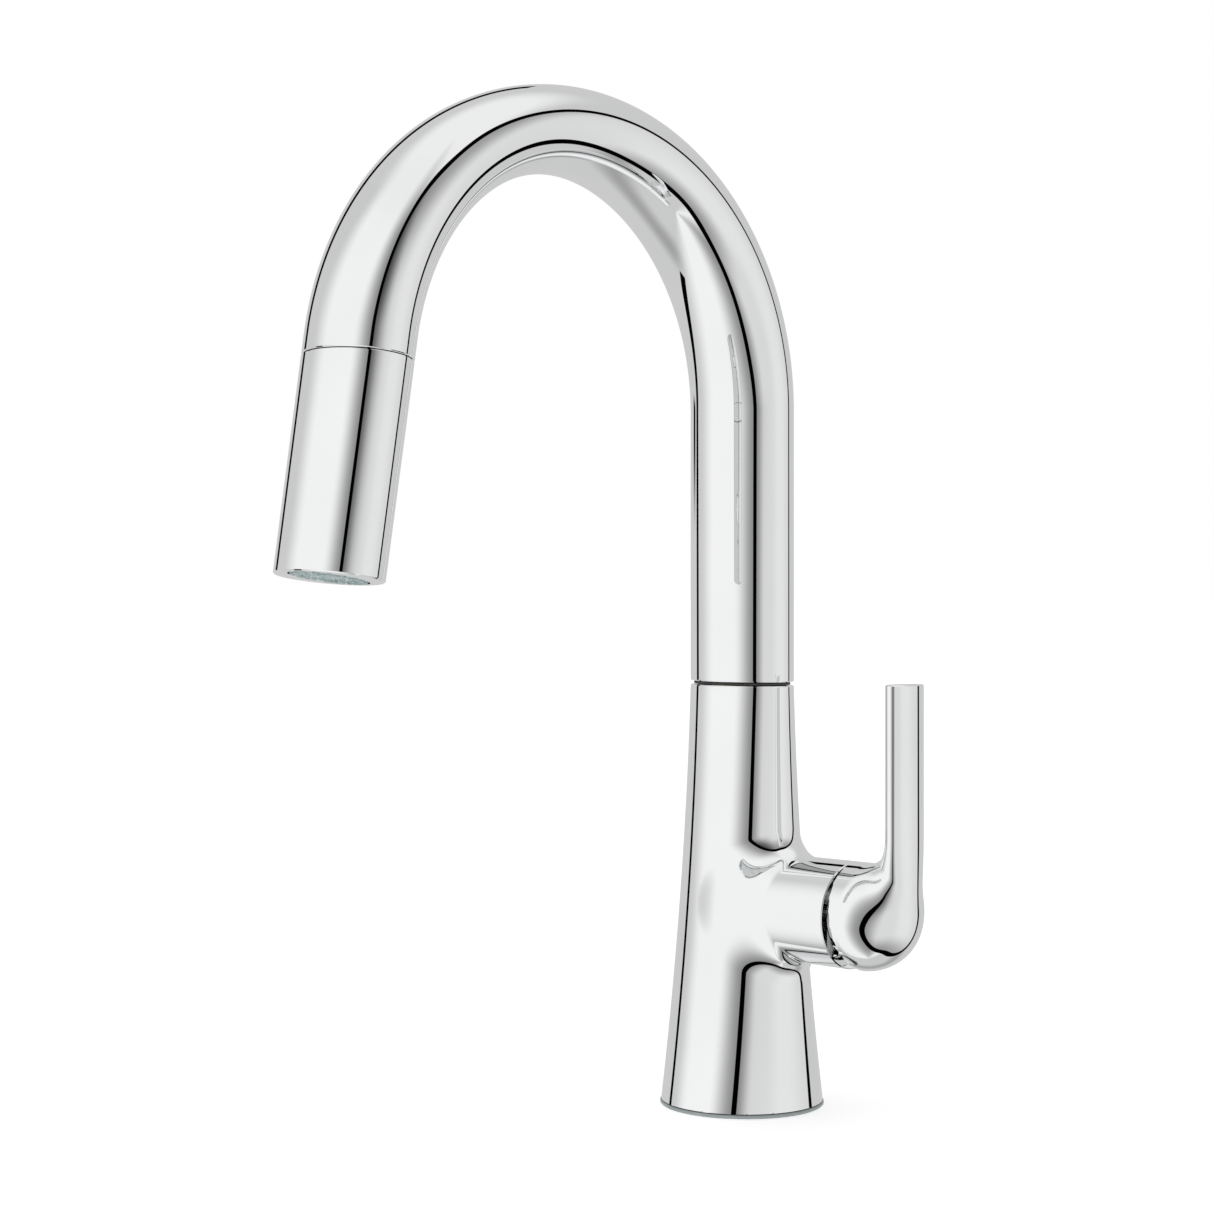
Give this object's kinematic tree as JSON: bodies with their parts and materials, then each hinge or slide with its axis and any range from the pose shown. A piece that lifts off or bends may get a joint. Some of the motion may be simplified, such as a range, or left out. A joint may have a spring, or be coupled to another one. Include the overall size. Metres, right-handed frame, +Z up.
{
  "type": "pull down kitchen faucet",
  "caption": "Single-hole gooseneck kitchen faucet with an oval swivelling spout, docked pull-down spray head on a hose, spray rocker and a side lever over a ceramic cartridge.",
  "frame": {"origin": "centre of the base on the deck surface", "axes": "+Z up the body, the spout reaches along -Y, the lever stands on the +X side"},
  "size_m": [0.1194, 0.2589, 0.4528],
  "materials": {
    "chrome": "polished, mirror bright",
    "brass": "machined, satin",
    "steel": "machined, satin",
    "rubber": "moulded, matt",
    "gasket": "moulded, matt, pale grey-green",
    "dark_plastic": "moulded, fine texture",
    "pale_plastic": "moulded, slightly translucent",
    "cartridge_plastic": "moulded, matt",
    "ceramic": "lapped, glazed",
    "hose": "braided sleeve, smooth",
    "copper": "drawn copper, satin"
  },
  "bodies": {
    "base": {"body_shell": "chrome", "base_gasket": "gasket", "mounting_shank": "brass", "rubber_washer": "rubber", "steel_washer": "steel", "mounting_nut": "brass", "jack_screw_1": "steel", "jack_screw_2": "steel", "waterway_block": "brass", "port_seal_1": "rubber", "port_seal_2": "rubber", "port_seal_3": "rubber", "hot_tube": "copper", "cold_tube": "copper", "outlet_tube": "copper", "cartridge_housing": "cartridge_plastic", "fixed_disc": "ceramic", "retaining_nut": "brass", "bonnet_cap": "chrome", "swivel_ring": "rubber", "upper_bushing": "cartridge_plastic", "lower_bushing": "cartridge_plastic", "stem_oring_1": "rubber", "stem_oring_2": "rubber", "hose_lower": "hose"},
    "spout": {"spout_tube": "chrome", "spout_stem": "brass", "stem_clip": "steel", "hose_upper": "hose", "dock_guide": "dark_plastic", "dock_magnet": "steel"},
    "hose_end": {"hose_nut": "brass", "swivel_washer": "rubber"},
    "spray_head": {"head_shell": "chrome", "head_collar": "steel", "head_core": "dark_plastic", "check_valve": "pale_plastic", "diverter_spring": "steel", "rocker_pin": "steel", "rocker_bezel": "chrome", "spray_face": "pale_plastic", "aerator": "pale_plastic", "face_seal": "rubber"},
    "rocker": {"mode_rocker": "chrome"},
    "diverter": {"diverter_spool": "pale_plastic"},
    "mixer_carrier": {"stem_guide": "dark_plastic", "pivot_pin": "steel"},
    "handle": {"handle": "chrome", "cartridge_stem": "steel", "handle_set_screw": "steel"},
    "disc_carriage": {"disc_driver": "dark_plastic", "moving_disc": "ceramic"}
  },
  "joints": [
    {"name": "spout_swivel", "type": "hinge", "parent": "base", "child": "spout", "pos_m": [0, 0, 0.1677], "axis": [0, 0, 1], "range_deg": [-60, 60]},
    {"name": "head_pull", "type": "slide", "parent": "spout", "child": "hose_end", "axis": [0, -0.1642, -0.9864], "range_m": [0, 0.18]},
    {"name": "head_turn", "type": "hinge", "parent": "hose_end", "child": "spray_head", "pos_m": [0, -0.19942, 0.27668], "axis": [0, -0.1642, -0.9864], "range_deg": [-90, 90]},
    {"name": "rocker_tilt", "type": "hinge", "parent": "spray_head", "child": "rocker", "pos_m": [0, -0.1919, 0.24269], "axis": [1, 0, 0], "range_deg": [-4, 4]},
    {"name": "diverter_shift", "type": "slide", "parent": "spray_head", "child": "diverter", "axis": [0, 0.9864, -0.1642], "range_m": [-0.0003, 0.0003]},
    {"name": "handle_temperature", "type": "hinge", "parent": "base", "child": "mixer_carrier", "pos_m": [0.046, 0, 0.08], "axis": [1, 0, 0], "range_deg": [-45, 45]},
    {"name": "handle_flow", "type": "hinge", "parent": "mixer_carrier", "child": "handle", "pos_m": [0.046, 0, 0.08], "axis": [0, 1, 0], "range_deg": [0, 15]},
    {"name": "disc_shift", "type": "slide", "parent": "mixer_carrier", "child": "disc_carriage", "axis": [0, 0, 1], "range_m": [0, 0.00315]}
  ],
  "couplings": [
    {"joint": "diverter_shift", "follows": "rocker_tilt", "m_per_rad": 0.0042},
    {"joint": "disc_shift", "follows": "handle_flow", "m_per_rad": 0.012}
  ]
}
